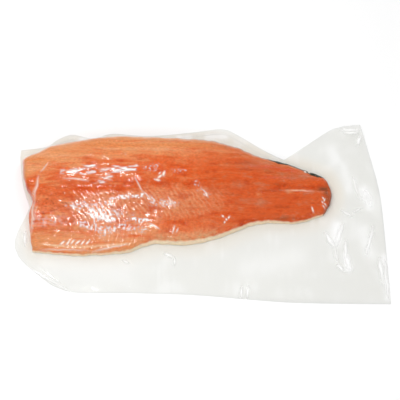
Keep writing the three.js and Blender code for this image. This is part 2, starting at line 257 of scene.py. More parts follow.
# Noise over the fillet and its films: each octave's strength, its grain along X and Y, and its seed
NOISES = {
    "lumps": [(0.7, 34, 18, 1), (0.35, 14, 9, 2)],
    "flake_wobble": [(0.35, 16, 12, 3), (0.15, 5, 6, 4)],
    "ragged_x": [(0.8, 9, 9, 5)],
    "ragged_y": [(0.8, 9, 9, 6)],
    "wander": [(0.04, 30, 14, 11), (0.025, 9, 6, 12)],
    "streak": [(1, 60, 4.5, 15), (0.6, 24, 2.4, 16)],
    "patch": [(1, 20, 8, 19), (0.5, 9, 4, 13)],
    "mottle": [(1, 6, 4, 17), (0.6, 2.6, 2.2, 18)],
    "stripe_breaks": [(0.45, 18, 12, 20)],
    "flap_fray": [(0.05, 22, 9, 44)],
    "back_lines": [(1, 130, 6.5, 56), (0.3, 40, 3, 57)],
    "flap_lines": [(1, 70, 3, 58)],
    "tail_fibre": [(1, 45, 6, 45)],
    "specks": [(1, 3.2, 2.2, 43)],
    "torn": [(1, 10, 3, 14)],
    "ripple_crests": [(1, 28, 5.5, 21)],
    "fine_ripples": [(0.26, 14, 2.6, 22)],
    "crinkles": [(0.2, 4.5, 4, 23), (0.22, 2.4, 2.2, 24)],
    "crinkle_breaks": [(1, 16, 9, 26)],
    "drift": [(0.22, 30, 12, 25)],
    "pillows": [(0.9, 45, 30, 31), (0.5, 18, 14, 32)],
    "loose_ripples": [(0.08, 7, 6, 33)],
    "tent_sway": [(1, 26, 26, 34), (0.5, 6, 6, 38)],
    "sheen": [(1, 30, 22, 35), (0.5, 5, 30, 36)],
    "sheen_edge": [(0.3, 6, 14, 37)],
    "crease_sway_x": [(1.4, 13, 13, 41)],
    "crease_sway_y": [(1.4, 13, 13, 42)],
    "glint_speckle": [(1, 1, 1, 51), (0.6, 1 / 1.8, 1 / 1.8, 52)],
    "glint_edge": [(0.6, 8, 6, 53)],
    "glint_sway_x": [(6, 12, 4, 54)],
    "glint_sway_y": [(2, 12, 9, 55)],
}
LATTICE, NOISE_GAIN = 256, 1.5

# Fineness of the meshes
SPLINE_STEPS = 60
OUTLINE_STEPS = 400
FLESH_LINES, FLESH_ACROSS = 440, 196
FILM_LINES, FILM_ACROSS, FILM_RUNGS = 440, 190, 72
UNDER_LINES, UNDER_ACROSS, UNDER_RUNGS = 150, 60, 20
END_LINES = 8
EDGE_CROWDING = 0.4  # how much closer the lines lie at the edges
RUNG_EASE = 1.2  # and how much closer the rings beside the fillet
SHARP_ANGLE = math.radians(60)

# Colours as they show through the film, red, green and blue of 255
ORANGE = (231, 125, 79)
PEACH = (233, 156, 106)
RED = (226, 98, 49)
TAIL_RED = (219, 99, 55)
TAIL_GREY = (206, 130, 98)
TAIL_DARK = (176, 72, 42)
TAIL_PINK = (220, 92, 74)
TAN = (224, 148, 104)
EMBER = (218, 87, 38)
STRIPE_DARK = (213, 98, 50)
STRIPE_PALE = (236, 164, 124)
FLAP = (230, 154, 108)
LOW_BAND = (219, 161, 120)
DEEP_RED = (199, 72, 32)
BLOOD = (165, 48, 38)
SPECK = (160, 66, 44)
MEMBRANE = (236, 176, 164)
FAT = (248, 226, 196)
EDGE = (232, 182, 146)
BAND_DEEP = (228, 136, 80)
BAND_PALE = (237, 171, 128)
BROWN = (120, 78, 58)
OLIVE = (176, 120, 82)
SKIN_BACK = (66, 64, 54)
SKIN_SIDE = (176, 166, 158)
SKIN_BELLY = (226, 206, 172)
SPOT = (34, 32, 28)
FLOOR = (246, 246, 246)
MARKS = [  # single marks, in the fillet's frame: middle, reach along and across, colour and strength
    ((370, 2.2), (18, 2.2), DEEP_RED, 0.8),
    ((378, 10), (9, 2.5), RED, 0.7),
    ((357, -1.8), (16, 1.1), FAT, 0.75),
    ((282, 4), (9, 4.5), TAIL_GREY, 0.55),
    ((292, -16.5), (12, 3), TAIL_GREY, 0.5),
    ((346, -3.7), (4, 2.5), PEACH, 0.6),
    ((370, -2.3), (6, 1), MEMBRANE, 0.6),
    ((389, 0.5), (6, 3), BROWN, 0.9),
    ((394, -8), (4, 14), BROWN, 0.75),
    ((319, 24), (7, 3), OLIVE, 0.5),
    ((337, 19.5), (8, 2), OLIVE, 0.4),
    ((302, 31), (22, 6), TAIL_GREY, 0.55),
    ((346, 26), (15, 2.2), TAIL_PINK, 0.6),
    ((316, 29), (18, 2), TAIL_PINK, 0.5),
    ((332, 15), (24, 2), TAIL_PINK, 0.45),
    ((210, -26), (16, 9), TAN, 0.45),
    ((310, -20), (7, 5), TAIL_GREY, 0.7),
    ((307, -8.5), (3.5, 3), PEACH, 0.7),
    ((354, 16), (22, 5), TAIL_GREY, 0.65),
    ((337, -40), (10, 1.8), BROWN, 0.5),
    ((285, -48), (4, 3), BLOOD, 0.7),
]

# Layers of colour on the flesh, from the ground up: area, colour, strength, and areas that weaken the layer
MUSCLE_LAYERS = [
    ("tail", TAIL_RED, 1),
    ("red_band", RED, 1, ("tail", 0.5)),
    ("striped", STRIPE_DARK, 0.6),
    ("stripes", STRIPE_PALE, 1),
    ("embers", EMBER, 0.75),
    ("flap", FLAP, 1),
    ("back_streaks", PEACH, 1),
    ("back_deep", BAND_DEEP, 0.7),
    ("back_pale", BAND_PALE, 0.6),
    ("flap_lines", BAND_DEEP, 0.5),
    ("pale_streaks", PEACH, 0.6, ("striped", 1), ("calm", 0.65)),
    ("dark_streaks", RED, 0.75, ("striped", 0.6), ("back", 0.4), ("calm", 0.4)),
    ("pale_patches", PEACH, 1, ("tail", 1)),
    ("dark_patches", DEEP_RED, 0.55, ("flap", 1), ("back", 1)),
    ("tail_patches", TAIL_GREY, 0.5),
    ("tail_fibres", TAIL_DARK, 0.55),
    ("dark_flecks", DEEP_RED, 0.35, ("flap", 0.7), ("back", 0.6), ("tail", 0.5)),
    ("pale_flecks", PEACH, 0.25, ("tail", 0.5)),
    ("blood", BLOOD, 0.35),
    ("specks", SPECK, 0.65),
    ("torn", MEMBRANE, 0.8),
]
EDGE_LAYERS = [
    ("low_band", LOW_BAND, 1),
    ("flap_deep", BAND_DEEP, 0.75),
    ("flap_pale", FAT, 0.5),
    ("fat", FAT, 1),
    ("back_edge", EDGE, 0.8),
    ("back_foot", BROWN, 1),
    ("tail_skin", SKIN_BACK, 1),
    ("tail_end", BROWN, 1),
    ("head_cut", DEEP_RED, 0.8),
]
STREAK, FLECK = (0.2, 0.9), (0.3, 1)  # from which to which noise a streak or a fleck grows
FOOT_BULGES = [(1.6, 0.58, 0.1), (2, 0.845, 0.02), (4.5, 0.955, 0.028)]  # width, place and reach along

# The film's colours, linear, and what it does to light
CLEAR = (1, 1, 1, 1)
# the second tint is painted warm shade, flesh-coloured, on the film near the fillet
FILM_TINT, PAINTED_SHADE_TINT, RIM_TINT = (0.954, 0.954, 0.944, 1), (0.95, 0.925, 0.886, 1), (0.92, 0.92, 0.915, 1)
# colours of the white haze, which also carries the painted highlights and glints: warm on the clinging
# film, neutral on loose film
WARM_HAZE, LOOSE_HAZE = (1, 0.86, 0.74, 1), (0.95, 0.95, 0.94, 1)
HAZE_SHARE = 0.022  # of loose film
MIRROR_FACING, MIRROR_SLANT, SLANT_POWER = 0.037, 0.9, 5.0
FILM_VEIL = 0.016  # light that the film adds over the flesh
FILM_GAIN = 1.07  # brightness of white under the film
DARKEST = 0.003

# Camera and light
VIEW_ELEVATION = math.radians(70)
LENS, SENSOR = 85, 36
FRAME_PIXELS = 400
SCALE_AT_AIM = 1.29  # millimetres a pixel of the photograph
AIM = Vector((-0.66, 16.63, 0)) * MM
KEYS = [  # where a key light's reflection falls, the film's lean there, then distance, size and radiance
    ((-136, -16, 20), 11, 1.2, (0.1, 0.38), 38),
    ((-131, 48, 28), 4.5, 0.5, (0.06, 0.045), 24),
]
FILL_PLACE = Vector((1.1, 1.5, 1.15))  # one of four over the corners of a rectangle
CORNERS = [(-1, -1, 1), (1, -1, 1), (1, 1, 1), (-1, 1, 1)]
FILL_SIZE, FILL_RADIANCE = (1.3, 1.3), 1.62
WORLD_STRENGTH = 0.5
FLOOR_HALF = 6


def smoothstep(x, low, high):
    t = np.clip((x - low) / (high - low), 0, 1)
    return t * t * (3 - 2 * t)


def fall(x, fade, end):
    """1 up to where something fades, and 0 from its end on."""
    return 1 - smoothstep(x, fade, end)


def window(x, start, full, fade, end):
    """0 before the start, 1 from full to fade, and 0 again after the end."""
    return smoothstep(x, start, full) * fall(x, fade, end)


def lerp(a, b, share):
    return a + (b - a) * share


def bell(distance, spread):
    return np.exp(-((distance / spread) ** 2))


def spot(x, y, middle, reach):
    """A soft oval, 1 in its middle."""
    return bell(x - middle[0], reach[0]) * bell(y - middle[1], reach[1])


def noise(x, y, seed):
    """Smooth noise from -1 to 1 over points in lattice units, the same for the same seed."""
    turns = np.random.default_rng(seed).uniform(0, 2 * np.pi, (LATTICE, LATTICE))
    column, row = np.floor(x).astype(int), np.floor(y).astype(int)
    fx, fy = x - column, y - row

    def corner(dx, dy):
        turn = turns[(column + dx) % LATTICE, (row + dy) % LATTICE]
        return np.cos(turn) * (fx - dx) + np.sin(turn) * (fy - dy)

    sx, sy = (f * f * f * (f * (f * 6 - 15) + 10) for f in (fx, fy))
    low = lerp(corner(0, 0), corner(1, 0), sx)
    high = lerp(corner(0, 1), corner(1, 1), sx)
    return NOISE_GAIN * lerp(low, high, sy)


def field(name, x, y):
    """The noise of that name at these places."""
    total = 0
    for strength, grain_x, grain_y, seed in NOISES[name]:
        total = total + strength * noise(x / grain_x, y / grain_y, seed)
    return total


def swayed(name, x, y):
    """These places, moved by two noises."""
    return x + field(name + "_x", x, y), y + field(name + "_y", x, y)


def spline(points, size):
    """A smooth curve through the points, as a function of the share of its length."""
    points = np.array(points, float) * size
    padded = np.vstack([points[:1], points, points[-1:]])
    t = np.linspace(0, 1, SPLINE_STEPS, endpoint=False)[:, None]
    pieces = []
    for before, start, end, after in zip(padded, padded[1:], padded[2:], padded[3:]):
        leave, arrive, rise = (end - before) / 2, (after - start) / 2, end - start
        square, cube = 3 * rise - 2 * leave - arrive, leave + arrive - 2 * rise
        pieces.append(start + leave * t + square * t**2 + cube * t**3)
    curve = np.vstack([*pieces, points[-1:]])
    reach = np.concatenate([[0], np.cumsum(np.linalg.norm(np.diff(curve, axis=0), axis=1))])
    return lambda share: np.stack([np.interp(share, reach / reach[-1], curve[:, k]) for k in (0, 1)], -1)


back_edge = spline(BACK_EDGE, (FILLET_LENGTH, FILLET_WIDTH))
belly_edge = spline(BELLY_EDGE, (FILLET_LENGTH, FILLET_WIDTH))


def plan_point(along, across):
    """Points of the fillet's plan."""
    point = lerp(back_edge(along), belly_edge(along), across[..., None])
    notch = HEAD_NOTCH_DEPTH * bell(across - HEAD_NOTCH_ACROSS, HEAD_NOTCH_SPREAD)
    bulge = TAIL_BULGE * (1 - (2 * across - 1) ** 2)
    at_head, at_tail = smoothstep(END_REACH - along, 0, END_REACH), smoothstep(along, 1 - END_REACH, 1)
    point[..., 0] += notch * at_head + bulge * at_tail
    return point


def rounded(distance, radius):
    return np.sqrt(1 - (1 - np.clip(distance / radius, 0, 1)) ** 2)


def bone_line(along):
    """The fillet's width, and the bone line's place across it."""
    width = back_edge(along)[..., 1] - belly_edge(along)[..., 1]
    return width, back_edge(along)[..., 1] / width


def flake_sweep(across, bone):
    """How far a flake's line has moved towards the tail at this place across."""
    on_loin = across < bone
    fold = np.where(on_loin, LOIN_FOLD, FLAP_FOLD)
    edge = np.where(on_loin, 0, 1)
    arm = (across - bone) / (fold - bone)
    past = 1 - FOLD_RETURN * (across - fold) / (edge - fold)
    return FLAKE_SWEEP * np.where(arm <= 1, arm, past)


class Surface:
    """The flesh's upper surface as a grid of points from head to tail and from back to belly."""

    def __init__(self, lines, steps, relief, relief_end=RELIEF_END):
        end = END_ROUND / FILLET_LENGTH
        rounding = end * (1 - np.cos(np.linspace(0, np.pi / 2, END_LINES, endpoint=False)))
        line = np.concatenate([rounding, np.linspace(end, 1 - end, lines), 1 - rounding[::-1]])[:, None]
        step = np.linspace(0, 1, steps)
        crowded = step - EDGE_CROWDING * np.sin(2 * np.pi * step) / (2 * np.pi)
        self.across = np.broadcast_to(crowded, (len(line), steps))
        freedom = smoothstep(line, 0, END_REACH) * smoothstep(1 - line, 0, TAIL_SQUEEZE)
        self.along = line + freedom * flake_sweep(self.across, bone_line(line)[1]) / FILLET_LENGTH
        self.width, self.bone = bone_line(self.along)
        plan_x, plan_y = np.moveaxis(plan_point(self.along, self.across), -1, 0)
        self.x, self.y = swayed("ragged", plan_x, plan_y)
        self.from_back = self.across * self.width
        self.from_belly = (1 - self.across) * self.width
        self.from_end = np.minimum(self.along, 1 - self.along) * FILLET_LENGTH
        self.edge = np.minimum(np.minimum(self.from_back, self.from_belly), self.from_end)
        self.flake = (line - end) / (1 - 2 * end) * FLAKES + field("flake_wobble", self.x, self.y)
        self.points = np.stack([self.x, self.y, self.height(relief, relief_end)], -1)

    def crown(self, slope):
        """Thickness before the edges are rounded, with slope 0 on the loin and 1 on the belly."""
        along, across = self.along, self.across
        loin = LOIN_THICKNESS * lerp(SHOULDER_SHARE, 1, smoothstep(along, 0, SHOULDER_END))
        loin = lerp(loin, TAIL_THICKNESS, smoothstep(along, *LOIN_TAPER))
        belly = lerp(FLAP_THICKNESS, WALL_THICKNESS, smoothstep(along, *WALL_RISE))
        belly = lerp(belly, TAIL_THICKNESS, smoothstep(along, *WALL_TAPER))
        bone_channel = BONE_CHANNEL_DEPTH * bell((across - self.bone) * self.width, BONE_CHANNEL_HALF)
        on_flap = FLAP_CHANNEL_DEPTH * fall(along, *FLAP_CHANNEL_END)
        flap_channel = on_flap * bell((across - FLAP_CHANNEL_ACROSS) * self.width, FLAP_CHANNEL_HALF)
        return lerp(loin, belly, slope) + field("lumps", self.x, self.y) - bone_channel - flap_channel

    def height(self, relief, relief_end):
        slope_end = np.minimum(self.bone + SLOPE_END, SLOPE_LAST)
        slope = smoothstep(self.across, self.bone + SLOPE_START, slope_end)
        sides = rounded(self.from_back, BACK_ROUND) * rounded(self.from_belly, FLAP_ROUND)
        inside = sides * rounded(self.from_end, END_ROUND)
        profile = 1 - 2 * np.abs(np.cos(np.pi * self.flake)) ** 3
        strength = window(self.along, *RELIEF_START, *relief_end) * lerp(RELIEF_ON_LOIN, 1, slope)
        flakes = 0.5 * relief * profile * strength
        return RIM_THICKNESS + (self.crown(slope) - RIM_THICKNESS + flakes) * inside


def grid_normals(points):
    """Outward normals of a grid that runs from head to tail and from back to belly."""
    normal = np.cross(np.gradient(points, axis=1), np.gradient(points, axis=0))
    return normal / np.maximum(np.linalg.norm(normal, axis=-1, keepdims=True), 1e-9)


def grid_faces(rows, columns):
    """Quads of a grid whose points are numbered row by row, facing up."""
    k = np.arange(rows * columns).reshape(rows, columns)
    return np.stack([k[:-1, :-1], k[:-1, 1:], k[1:, 1:], k[1:, :-1]], -1).reshape(-1, 4)


def grid_rim(rows, columns):
    """Numbers of a grid's rim points: along the back, down the tail, along the belly and up the head."""
    k = np.arange(rows * columns).reshape(rows, columns)
    return np.concatenate([k[:-1, 0], k[-1, :-1], k[:0:-1, -1], k[0, :0:-1]])


def ring_faces(rings, around):
    """Quads through closed rings of points that are numbered ring by ring, facing up."""
    loops = np.arange(rings * around).reshape(rings, around)
    following = np.roll(loops, -1, axis=1)
    return np.stack([loops[:-1], loops[1:], following[1:], following[:-1]], -1).reshape(-1, 4)


def add_object(name, data):
    thing = bpy.data.objects.new(name, data)
    bpy.context.scene.collection.objects.link(thing)
    return thing


def add_piece(name, points, faces, material, attributes, node):
    """A mesh piece in the pack's frame that stands for a solid of the frame."""
    mesh = bpy.data.meshes.new(name)
    mesh.from_pydata((points * MM).tolist(), [], faces)
    for key, values in attributes.items():
        values = np.reshape(values, (len(points), -1)).astype(np.float32)
        if values.shape[1] == 1:
            mesh.attributes.new(key, "FLOAT", "POINT").data.foreach_set("value", values.ravel())
        else:
            solid = np.hstack([values, np.ones((len(points), 1), np.float32)])
            mesh.attributes.new(key, "FLOAT_COLOR", "POINT").data.foreach_set("color", solid.ravel())
    mesh.materials.append(material)
    mesh.shade_smooth()
    mesh.set_sharp_from_angle(angle=SHARP_ANGLE)
    piece = add_object(name, mesh)
    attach(piece, "root")
    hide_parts(node)


def linear(colour):
    """A colour of 255 as linear red, green and blue."""
    share = np.array(colour) / 255
    return np.where(share <= 0.04045, share / 12.92, ((share + 0.055) / 1.055) ** 2.4)


def shader_colour(colour):
    return (*linear(colour).tolist(), 1)


def under_film(colour):
    """The flesh's own colour, for the colour that shows through the film."""
    return np.maximum((linear(colour) - FILM_VEIL) / FILM_GAIN, DARKEST)


def add_node(tree, kind, inputs=None, **settings):
    """A shader node of that kind with its settings, and its inputs set to values or linked to sockets."""
    node = tree.nodes.new("ShaderNode" + kind)
    for key, value in settings.items():
        setattr(node, key, value)
    for key, value in (inputs or {}).items():
        if isinstance(value, bpy.types.NodeSocket):
            tree.links.new(value, node.inputs[key])
        else:
            node.inputs[key].default_value = value
    return node


def attribute(tree, name, output="Fac"):
    return add_node(tree, "Attribute", attribute_name=name).outputs[output]


def maths(tree, operation, *values):
    inputs = dict(enumerate(values))
    return add_node(tree, "Math", inputs, operation=operation).outputs[0]


def scaled(tree, value, factor, offset=0.0):
    """The value times the factor, plus the offset."""
    return maths(tree, "MULTIPLY_ADD", value, factor, offset)


def mixed(tree, share, a, b):
    """Colour b over colour a by a share."""
    return add_node(tree, "Mix", {0: share, 6: a, 7: b}, data_type="RGBA").outputs[2]


def noise_node(tree, scale, stretch=(1, 1, 1), detail=3):
    """Noise from 0 to 1 in the pack's own coordinates, with its grains' size as 1 / scale metres."""
    place = add_node(tree, "TexCoord").outputs["Object"]
    place = add_node(tree, "Mapping", {"Vector": place, "Scale": stretch}).outputs[0]
    inputs = {"Vector": place, "Scale": scale, "Detail": detail}
    return add_node(tree, "TexNoise", inputs).outputs["Fac"]


def cells_node(tree, scale):
    """Distance from the middle of the nearest cell, with that many cells a metre."""
    place = add_node(tree, "TexCoord").outputs["Object"]
    inputs = {"Vector": place, "Scale": scale}
    return add_node(tree, "TexVoronoi", inputs, voronoi_dimensions="2D").outputs["Distance"]


def between(tree, value, low, high):
    """A value spread out so that low gives 0 and high gives 1."""
    inputs = {"Value": value, "From Min": low, "From Max": high}
    return add_node(tree, "MapRange", inputs, interpolation_type="SMOOTHSTEP").outputs[0]


def bumped(tree, height, strength, depth):
    """A normal with bumps of that depth in metres."""
    inputs = {"Height": height, "Strength": strength, "Distance": depth}
    return add_node(tree, "Bump", inputs).outputs[0]


def new_material(name):
    material = bpy.data.materials.new(name)
    material.use_nodes = True
    material.node_tree.nodes.clear()
    return material, material.node_tree


def finish_material(tree, kind, inputs):
    """The material's last shader, linked to its surface."""
    shader = add_node(tree, kind, inputs).outputs[0]
    add_node(tree, "OutputMaterial", {"Surface": shader})


def flesh_material():
    material, tree = new_material("flesh")
    grain = noise_node(tree, scale=800, stretch=(0.4, 1, 1))
    speckle = scaled(tree, grain, factor=0.75, offset=0.625)
    inputs = {"Color": attribute(tree, "tone", "Color"), "Value": speckle}
    finish_material(tree, "BsdfPrincipled", {
        "Base Color": add_node(tree, "HueSaturation", inputs).outputs[0],
        "Normal": bumped(tree, grain, strength=0.25, depth=0.0006),
        "Roughness": 0.5,
        "Specular IOR Level": 0.08,
        "Subsurface Weight": 0.15,
        "Subsurface Radius": (1, 0.35, 0.2),
        "Subsurface Scale": 0.002,
    })
    return material


def skin_material():
    """Dark along the back, silver on the side and pale on the belly, with dark spots and fine scales."""
    material, tree = new_material("skin")
    side = maths(tree, "ADD", attribute(tree, "side"), -0.1)
    side = scaled(tree, noise_node(tree, scale=30), factor=0.2, offset=side)
    back, silver, belly, dark = map(shader_colour, (SKIN_BACK, SKIN_SIDE, SKIN_BELLY, SPOT))
    colour = mixed(tree, between(tree, side, low=0.25, high=0.5), back, silver)
    colour = mixed(tree, between(tree, side, low=0.55, high=0.8), colour, belly)
    spots = between(tree, cells_node(tree, scale=110), low=0.28, high=0.2)
    spots = maths(tree, "MULTIPLY", spots, between(tree, side, low=0.6, high=0.35))
    finish_material(tree, "BsdfPrincipled", {
        "Base Color": mixed(tree, spots, colour, dark),
        "Normal": bumped(tree, cells_node(tree, scale=420), strength=0.3, depth=0.0005),
        "Roughness": 0.35,
        "Metallic": 0.25,
    })
    return material


def film_material():
    """Clear film that mirrors at a slant and is hazy off the flesh, with painted highlights and glints as
    white haze, painted sheen where it turns clearer and painted warm shade near the fillet.
    """
    material, tree = new_material("film")
    loose = attribute(tree, "loose")
    # painted warm shade: the film turns darker and warmer near the fillet
    tint = mixed(tree, attribute(tree, "warm"), FILM_TINT, PAINTED_SHADE_TINT)
    # painted sheen: the film turns fully clear there, so the floor shows brighter through it
    tint = mixed(tree, attribute(tree, "sheen"), tint, CLEAR)
    tint = mixed(tree, attribute(tree, "rim"), tint, RIM_TINT)
    clear = add_node(tree, "BsdfTransparent", {"Color": tint}).outputs[0]
    white = mixed(tree, loose, WARM_HAZE, LOOSE_HAZE)
    haze = add_node(tree, "BsdfDiffuse", {"Color": white}).outputs[0]
    # white haze: a little in loose film, and all of it in the painted highlights and glints
    share = scaled(tree, loose, HAZE_SHARE, attribute(tree, "crease"))
    body = add_node(tree, "MixShader", {0: share, 1: clear, 2: haze}).outputs[0]
    grain = noise_node(tree, scale=400, stretch=(0.6, 1, 1), detail=0)
    normal = bumped(tree, grain, strength=attribute(tree, "crinkle"), depth=0.0005)
    inputs = {"Color": CLEAR, "Roughness": 0.09, "Normal": normal}
    gloss = add_node(tree, "BsdfGlossy", inputs).outputs[0]
    facing = add_node(tree, "LayerWeight", {"Blend": 0.5}).outputs["Facing"]
    mirror = scaled(tree, attribute(tree, "dull"), -MIRROR_FACING, MIRROR_FACING)
    mirror = scaled(tree, maths(tree, "POWER", facing, SLANT_POWER), MIRROR_SLANT, mirror)
    finish_material(tree, "MixShader", {0: mirror, 1: body, 2: gloss})
    return material


def laid(tone, share, colour):
    """A tone with a share of a colour over it."""
    return lerp(tone, under_film(colour), np.clip(share, 0, 1)[..., None])


def laid_layers(tone, layers, areas):
    """A tone with layers of colour over it, each in its area."""
    for area, colour, strength, *weakened in layers:
        share = strength * areas[area]
        for other, loss in weakened:
            share = share * (1 - loss * areas[other])
        tone = laid(tone, share, colour)
    return tone


def broad_areas(s, mottle):
    """Areas of the flesh's broad bands of colour."""
    x, y, along = s.x, s.y, s.along
    wander = field("wander", x, y)
    place = s.across + wander
    tail = smoothstep(along + wander, 0.52, 0.72)
    striped = window(place, 0.46, 0.55, 0.72, 0.84) * smoothstep(along, 0.1, 0.25) * (1 - tail)
    septum = np.abs(np.cos(np.pi * s.flake)) ** 3
    whole = 0.55 + field("stripe_breaks", x, y)
    upper_ember = bell(place - 0.475, 0.05) * smoothstep(along, 0.06, 0.16)
    lower_ember = bell(place - 0.82, 0.055) * smoothstep(along, 0.42, 0.48)
    frayed = place + 0.035 * mottle + field("flap_fray", x, y)
    back = fall(place, lerp(0.2, 0.06, along), lerp(0.32, 0.18, along))
    return {
        "tail": tail,
        "calm": smoothstep(along, 0.42, 0.58),
        "middle": window(place, 0.28, 0.38, 0.55, 0.65),
        "red_band": bell(place - 0.36, 0.11) * lerp(0.6, 0.9, smoothstep(along, 0.2, 0.4)),
        "striped": striped,
        "stripes": striped * (0.28 + 0.75 * whole * septum + 0.25 * mottle),
        "embers": (upper_ember + 0.75 * lower_ember) * fall(along, 0.62, 0.74),
        "flap": smoothstep(frayed, 0.76, 0.88) * fall(along + wander, 0.36, 0.46),
        "back": back * (1 - 0.75 * smoothstep(along, 0.5, 0.7)),
    }


def fine_areas(s, mottle, broad):
    """Areas of streaks, patches and flecks over those bands."""
    x, y, tail, back = s.x, s.y, broad["tail"], broad["back"]
    streak, patch, lines = (field(name, x, y) for name in ("streak", "patch", "back_lines"))
    pale = 0.3 + 0.5 * fall(s.along, 0.15, 0.3) * (1 - 0.7 * broad["middle"])
    fibre = field("tail_fibre", x, y) + 0.35 * mottle
    return {
        "back_streaks": back * (0.95 + 0.3 * streak),
        "back_deep": back * smoothstep(lines, 0, 0.6),
        "back_pale": back * smoothstep(-lines, 0, 0.6),
        "flap_lines": broad["flap"] * smoothstep(field("flap_lines", x, y), 0, 0.5),
        "pale_streaks": smoothstep(streak, *STREAK),
        "dark_streaks": smoothstep(-streak, *STREAK),
        "pale_patches": pale * smoothstep(patch, 0, 0.7),
        "dark_patches": smoothstep(-patch, *STREAK),
        "tail_patches": tail * smoothstep(patch + 0.3 * mottle, *STREAK),
        "tail_fibres": tail * smoothstep(fibre, *STREAK),
        "dark_flecks": smoothstep(-mottle, *FLECK),
        "pale_flecks": smoothstep(mottle, *FLECK),
    }


def stain_areas(s, mottle):
    """Areas of blood, dark specks and torn membrane."""
    x, y = s.x, s.y
    specks = smoothstep(field("specks", x, y) + 0.5 * mottle, 0.25, 0.8)
    torn = smoothstep(field("torn", x, y) + 0.4 * mottle, -0.2, 0.4)
    return {
        "blood": smoothstep(mottle, 0.1, 0.8) * spot(x, y, middle=(48, -30), reach=(34, 24)),
        "specks": specks * bell(s.across - 0.62, 0.2) * fall(s.along, 0.3, 0.45),
        "torn": torn * spot(x, y, middle=(38, -42), reach=(24, 8)),
    }


def belly_areas(s, mottle):
    """Areas of the thin bands and the fat along the belly's edge."""
    along, away = s.along, s.from_belly
    on_flap = window(along, 0.02, 0.06, 0.28, 0.36)
    deep = window(along, 0.22, 0.45, 0.6, 0.9)
    fat = lerp(0.5, 1.7, deep) + 0.4 * mottle
    return {
        "low_band": bell(away - 5, 8) * window(along, 0.38, 0.44, 0.58, 0.68) * (0.7 + 0.4 * mottle),
        "flap_deep": on_flap * bell(away - 5.2 + 0.5 * mottle, 1.5),
        "flap_pale": on_flap * bell(away - 8.6 + 0.5 * mottle, 1.3),
        "fat": fall(away, fat - 0.5, fat + lerp(1, 1.8, deep)),
    }


def back_areas(s, mottle):
    """Areas of the back's pale wall, the brown line at its foot and the tail's dark skin."""
    along, away = s.along, s.from_back
    behind_head, onward = smoothstep(along, 0.03, 0.08), smoothstep(along, 0.35, 0.75)
    wall = lerp(11, 7, smoothstep(along, 0.5, 0.8)) + 1.2 * mottle
    foot = lerp(2, 3.8, onward) + 0.8 * mottle
    for width, place, reach in FOOT_BULGES:
        foot = foot + width * bell(along - place, reach)
    return {
        "back_edge": behind_head * fall(away, 1, wall),
        "back_foot": behind_head * lerp(0.6, 0.5, onward) * fall(away, foot - 2, foot + 0.5),
        "tail_skin": smoothstep(along, 0.78, 0.84) * fall(away, foot - 1, foot),
    }


def end_areas(s, mottle):
    """Areas of the brown line round the tail's end and the dark one along the head cut."""
    from_head, from_tail = s.along * FILLET_LENGTH, (1 - s.along) * FILLET_LENGTH
    return {
        "tail_end": fall(from_tail, 0.8, 3) * (0.7 + 0.3 * mottle),
        "head_cut": fall(from_head, 0.5, 5 + mottle) * fall(s.across, 0.5, 0.65),
    }


def flesh_tone(s):
    """The flesh's colour at each point of a surface: its muscle, then single marks, then its edges."""
    mottle = field("mottle", s.x, s.y)
    broad = broad_areas(s, mottle)
    muscle = {**broad, **fine_areas(s, mottle, broad), **stain_areas(s, mottle)}
    edges = {**belly_areas(s, mottle), **back_areas(s, mottle), **end_areas(s, mottle)}
    ground = np.broadcast_to(under_film(ORANGE), (*s.x.shape, 3))
    tone = laid_layers(ground, MUSCLE_LAYERS, muscle)
    for middle, reach, colour, strength in MARKS:
        tone = laid(tone, strength * spot(s.x, s.y, middle, reach) * (0.85 + 0.4 * mottle), colour)
    return laid_layers(tone, EDGE_LAYERS, edges)


def make_flesh(origin, material):
    """The flesh as one closed piece: the upper surface, its rim's wall and the flat underside."""
    surface = Surface(FLESH_LINES, FLESH_ACROSS, FLAKE_RELIEF)
    rows, columns = surface.along.shape
    points = surface.points.reshape(-1, 3)
    tone = flesh_tone(surface).reshape(-1, 3)
    rim = grid_rim(rows, columns)
    base = points[rim] * (1, 1, 0) + (0, 0, SKIN_GAP)
    below = len(points) + np.arange(len(rim))
    wall = np.stack([rim, np.roll(rim, -1), np.roll(below, -1), below], -1)
    faces = grid_faces(rows, columns).tolist() + wall.tolist() + [below.tolist()]
    tones = {"tone": np.vstack([tone, tone[rim]])}
    add_piece("fillet_flesh", np.vstack([points, base]) + origin, faces, material, tones, "fillet")


def make_skin(origin, material):
    """The skin under the flesh, facing down."""
    surface = Surface(UNDER_LINES, UNDER_ACROSS, 0)
    points = surface.points.reshape(-1, 3) * (1, 1, 0) + origin
    faces = grid_faces(*surface.along.shape)[:, ::-1]
    add_piece("fillet_skin", points, faces.tolist(), material, {"side": surface.across}, "fillet")


def from_segment(x, y, start, end):
    """The share of a segment's length at its nearest point, and how far away that point is."""
    (ax, ay), (bx, by) = start, end
    share = ((x - ax) * (bx - ax) + (y - ay) * (by - ay)) / math.hypot(bx - ax, by - ay) ** 2
    share = np.clip(share, 0, 1)
    return share, np.hypot(x - lerp(ax, bx, share), y - lerp(ay, by, share))


def crease_ridges(x, y, creases):
    """Height of the creases' ridges at these places, and the area of the painted highlights, white lines
    along them.
    """
    height, white = np.zeros_like(x), np.zeros_like(x)
    x, y = swayed("crease_sway", x, y)
    for start, end, rise, width, whiteness in creases:
        share, away = from_segment(x, y, start, end)
        fade = np.sin(np.pi * lerp(CREASE_TIP, 1 - CREASE_TIP, share))
        height += rise * fade * np.exp(-away / width)
        white = np.maximum(white, whiteness * fade * bell(away, CREASE_LINE * width))
    return height, white


def soft_patches(x, y, patches, edge):
    """Area of white patches along segments, whose outlines waver with the edge, for the painted sheen and
    the painted glints.
    """
    white = np.zeros_like(x)
    for start, end, reach, whiteness in patches:
        away = from_segment(x, y, start, end)[1] + reach * edge
        white = np.maximum(white, whiteness * bell(np.maximum(away, 0), reach))
    return white


